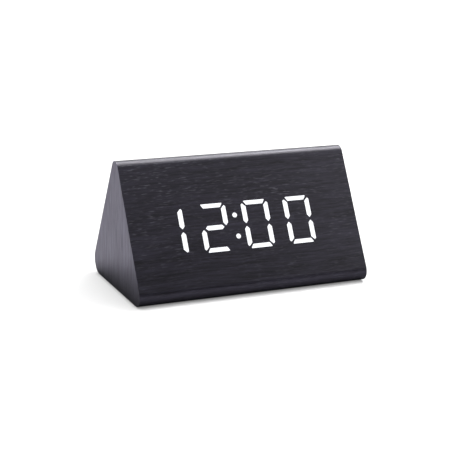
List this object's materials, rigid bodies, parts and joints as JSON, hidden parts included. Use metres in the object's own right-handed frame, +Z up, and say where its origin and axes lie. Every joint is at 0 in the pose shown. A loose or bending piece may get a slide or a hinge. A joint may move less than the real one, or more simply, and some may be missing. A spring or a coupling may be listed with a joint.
{
  "type": "alarm clock",
  "caption": "Three-sided prism alarm clock with a wood-grain film, a segment display glowing through its sloping front, and a back cover with buttons and a battery door.",
  "frame": {"origin": "under the middle of the body, on the plane of the feet's undersides", "axes": "+X along the body to the display's right-hand end, +Y to the back cover, +Z up"},
  "size_m": [0.13, 0.0726, 0.0688],
  "materials": {
    "wrap_film": "satin black wood-grain film",
    "end_film": "satin charcoal wood-grain film",
    "fibreboard": "raw sanded fibreboard",
    "dowel_wood": "fluted beech",
    "foot_pad": "matt black",
    "lit_segment": "glowing white",
    "reflector": "moulded matt",
    "diffuser": "cast milky resin",
    "led": "phosphor in clear resin",
    "circuit_board": "green solder mask",
    "chip": "moulded epoxy with tinned legs",
    "resistor": "glazed chip with tinned ends",
    "plug_housing": "moulded nylon",
    "screw": "zinc plated",
    "ribbon": "ribbed grey vinyl",
    "cover": "fine spark texture",
    "door": "fine spark texture",
    "cell": "printed sleeve with bare steel ends",
    "spring_wire": "nickel plated",
    "contact": "nickel plated sheet",
    "red_wire": "vinyl insulation",
    "black_wire": "vinyl insulation",
    "metal_can": "drawn can",
    "capacitor": "shrink sleeve with a bare top",
    "buzzer_case": "moulded matt",
    "thermistor_bead": "dipped epoxy",
    "socket_shell": "folded sheet",
    "socket_tongue": "moulded",
    "switch_case": "moulded with a sheet-metal top",
    "snap_dome": "sprung steel",
    "button": "satin",
    "plunger": "moulded",
    "switch_knob": "moulded"
  },
  "bodies": {
    "casing": {"wrap_film": "wrap_film", "left_end_film": "end_film", "right_end_film": "end_film", "body_tube": "fibreboard", "left_end_block": "fibreboard", "right_end_block": "fibreboard", "dowels": "dowel_wood", "foot_front_left": "foot_pad", "foot_front_right": "foot_pad", "foot_back_left": "foot_pad", "foot_back_right": "foot_pad", "hour_tens_light": "lit_segment", "hour_units_light": "lit_segment", "colon_light": "lit_segment", "minute_tens_light": "lit_segment", "minute_units_light": "lit_segment", "display_reflector": "reflector", "display_diffusers": "diffuser", "display_leds": "led", "display_board": "circuit_board", "display_driver": "chip", "display_resistors": "resistor", "display_connector": "plug_housing", "display_screws": "screw", "ribbon_cable": "ribbon", "back_cover": "cover", "back_cover_screws": "screw", "battery_1": "cell", "battery_2": "cell", "battery_3": "cell", "battery_spring_1": "spring_wire", "battery_spring_2": "spring_wire", "battery_spring_3": "spring_wire", "contact_plates": "contact", "red_lead": "red_wire", "black_lead": "black_wire", "main_board": "circuit_board", "controller_chip": "chip", "quartz_crystal": "metal_can", "capacitors": "capacitor", "board_resistors": "resistor", "main_connector": "plug_housing", "buzzer": "buzzer_case", "microphone": "metal_can", "thermistor": "thermistor_bead", "main_board_screws": "screw", "power_socket": "socket_shell", "power_socket_tongue": "socket_tongue", "tact_switches": "switch_case", "switch_domes": "snap_dome", "sound_switch": "switch_case"},
    "set_button": {"set_button": "button", "set_plunger": "plunger"},
    "up_button": {"up_button": "button", "up_plunger": "plunger"},
    "down_button": {"down_button": "button", "down_plunger": "plunger"},
    "sound_switch_knob": {"sound_switch_knob": "switch_knob"},
    "battery_door": {"battery_door": "door"}
  },
  "joints": [
    {"name": "set_press", "type": "slide", "parent": "casing", "child": "set_button", "axis": [0, -0.8746, -0.4848], "range_m": [0, 0.0005], "stiffness_N_per_m": 3000},
    {"name": "up_press", "type": "slide", "parent": "casing", "child": "up_button", "axis": [0, -0.8746, -0.4848], "range_m": [0, 0.0005], "stiffness_N_per_m": 3000},
    {"name": "down_press", "type": "slide", "parent": "casing", "child": "down_button", "axis": [0, -0.8746, -0.4848], "range_m": [0, 0.0005], "stiffness_N_per_m": 3000},
    {"name": "sound_switch_slide", "type": "slide", "parent": "casing", "child": "sound_switch_knob", "axis": [-1, 0, 0], "range_m": [0, 0.002]},
    {"name": "battery_door_hinge", "type": "hinge", "parent": "casing", "child": "battery_door", "pos_m": [-0.014, 0.03248, 0.01676], "axis": [-1, 0, 0], "range_deg": [0, 60]}
  ]
}
